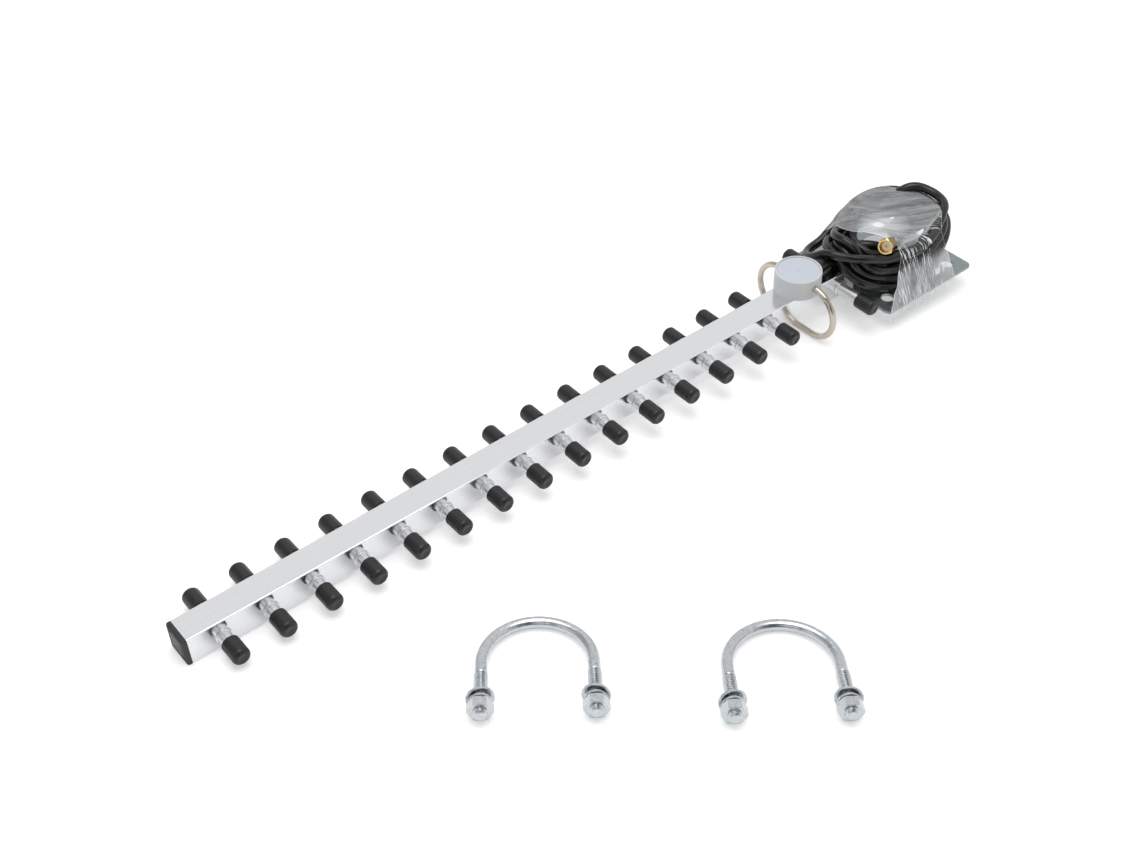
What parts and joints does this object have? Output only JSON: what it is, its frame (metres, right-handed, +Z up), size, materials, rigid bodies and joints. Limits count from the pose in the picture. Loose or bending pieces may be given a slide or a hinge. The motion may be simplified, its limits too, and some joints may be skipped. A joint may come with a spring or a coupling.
{
  "type": "yagi antenna",
  "caption": "Directional yagi antenna: square boom with capped rod elements, folded driven loop, flat mast plate with U-bolts, and a coiled coaxial lead with a screw-on connector.",
  "frame": {"origin": "centre of the plate's four-hole pattern, on the plate's underside", "axes": "+X along the boom from the directors towards the plate, +Z up out of the plate on the boom's side, +Y completes the right-handed frame"},
  "size_m": [0.481, 0.2464, 0.0445],
  "materials": {
    "boom_aluminium": "bright anodised square tube, nearly mirror-like",
    "rod_aluminium": "bright drawn rod, rolled bead",
    "cap_vinyl": "dipped soft vinyl, matt with a soft sheen",
    "plug_plastic": "moulded polyethylene, fine texture",
    "housing_abs": "moulded ABS, light grey, fine matt texture",
    "lid_abs": "moulded ABS, pale blue-grey, satin",
    "board_fibreglass": "epoxy-glass board with solder mask",
    "loop_nickel": "nickel-plated, polished, warm grey",
    "screw_zinc": "bright zinc plate",
    "plate_galvanised": "galvanised sheet, dull with faint spangle",
    "lead_pvc": "extruded PVC jacket, semi-matt black",
    "tie_nylon": "natural nylon, slightly translucent",
    "sleeve_polyolefin": "shrunk polyolefin sleeve",
    "connector_gold": "gold-plated brass, turned",
    "connector_ptfe": "PTFE dielectric",
    "film_polyethylene": "clear stretch film, creased"
  },
  "bodies": {
    "antenna": {"boom": "boom_aluminium", "front_plug": "plug_plastic", "rear_plug": "plug_plastic", "director_1": "rod_aluminium", "director_2": "rod_aluminium", "director_3": "rod_aluminium", "director_4": "rod_aluminium", "director_5": "rod_aluminium", "director_6": "rod_aluminium", "director_7": "rod_aluminium", "director_8": "rod_aluminium", "director_9": "rod_aluminium", "director_10": "rod_aluminium", "director_11": "rod_aluminium", "director_12": "rod_aluminium", "director_13": "rod_aluminium", "director_14": "rod_aluminium", "director_15": "rod_aluminium", "director_caps_1": "cap_vinyl", "director_caps_2": "cap_vinyl", "director_caps_3": "cap_vinyl", "director_caps_4": "cap_vinyl", "director_caps_5": "cap_vinyl", "director_caps_6": "cap_vinyl", "director_caps_7": "cap_vinyl", "director_caps_8": "cap_vinyl", "director_caps_9": "cap_vinyl", "director_caps_10": "cap_vinyl", "director_caps_11": "cap_vinyl", "director_caps_12": "cap_vinyl", "director_caps_13": "cap_vinyl", "director_caps_14": "cap_vinyl", "director_caps_15": "cap_vinyl", "reflector": "rod_aluminium", "reflector_caps": "cap_vinyl", "feed_housing": "housing_abs", "feed_lid": "lid_abs", "feed_board": "board_fibreglass", "feed_screws": "screw_zinc", "feed_nuts": "screw_zinc", "driven_loop": "loop_nickel", "lead_gland": "sleeve_polyolefin", "lead_start": "lead_pvc", "lead_coil": "lead_pvc", "lead_tail": "lead_pvc", "cable_tie": "tie_nylon", "heat_shrink": "sleeve_polyolefin", "connector_body": "connector_gold", "connector_insulator": "connector_ptfe", "connector_pin": "connector_gold", "mount_plate": "plate_galvanised", "plate_rivets": "screw_zinc", "film_wrap": "film_polyethylene", "u_bolt_1": "screw_zinc", "u_bolt_2": "screw_zinc", "clamp_nuts": "screw_zinc", "clamp_spring_washers": "screw_zinc", "clamp_flat_washers": "screw_zinc"},
    "coupling_nut": {"connector_nut": "connector_gold"}
  },
  "joints": [
    {"name": "coupling_nut_turn", "type": "hinge", "parent": "antenna", "child": "coupling_nut", "pos_m": [-0.022, -0.018, 0.03], "axis": [-0.8656, -0.3323, 0.3746], "continuous": true}
  ]
}
